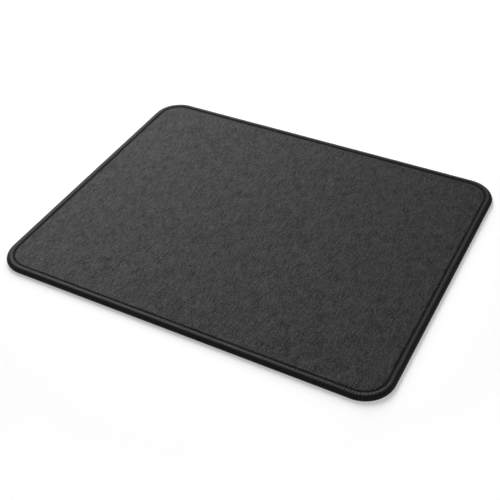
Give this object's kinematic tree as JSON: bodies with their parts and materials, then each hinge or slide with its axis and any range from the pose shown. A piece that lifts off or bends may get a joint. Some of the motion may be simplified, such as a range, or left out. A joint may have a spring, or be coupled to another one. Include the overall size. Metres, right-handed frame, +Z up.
{
  "type": "mouse pad",
  "caption": "Thin rectangular cloth-topped mouse pad with rounded corners, a foam rubber base and a raised overlocked edge all round.",
  "frame": {"origin": "on the desk, under the middle of the pad", "axes": "+X along the long side, to the right of someone who sits at the front edge; +Y away from them; +Z up"},
  "size_m": [0.25, 0.2, 0.0038],
  "materials": {
    "surface_cloth": "charcoal knitted polyester cloth, matt and faintly mottled",
    "bonding_film": "hot-melt film, hidden",
    "rubber_base": "black foam rubber, moulded anti-slip underside",
    "edge_thread": "black filament polyester sewing thread, slight sheen"
  },
  "bodies": {
    "root": {"surface_cloth": "surface_cloth", "bonding_film": "bonding_film", "rubber_base": "rubber_base", "needle_thread": "edge_thread", "upper_looper_thread": "edge_thread", "lower_looper_thread": "edge_thread"}
  },
  "joints": []
}
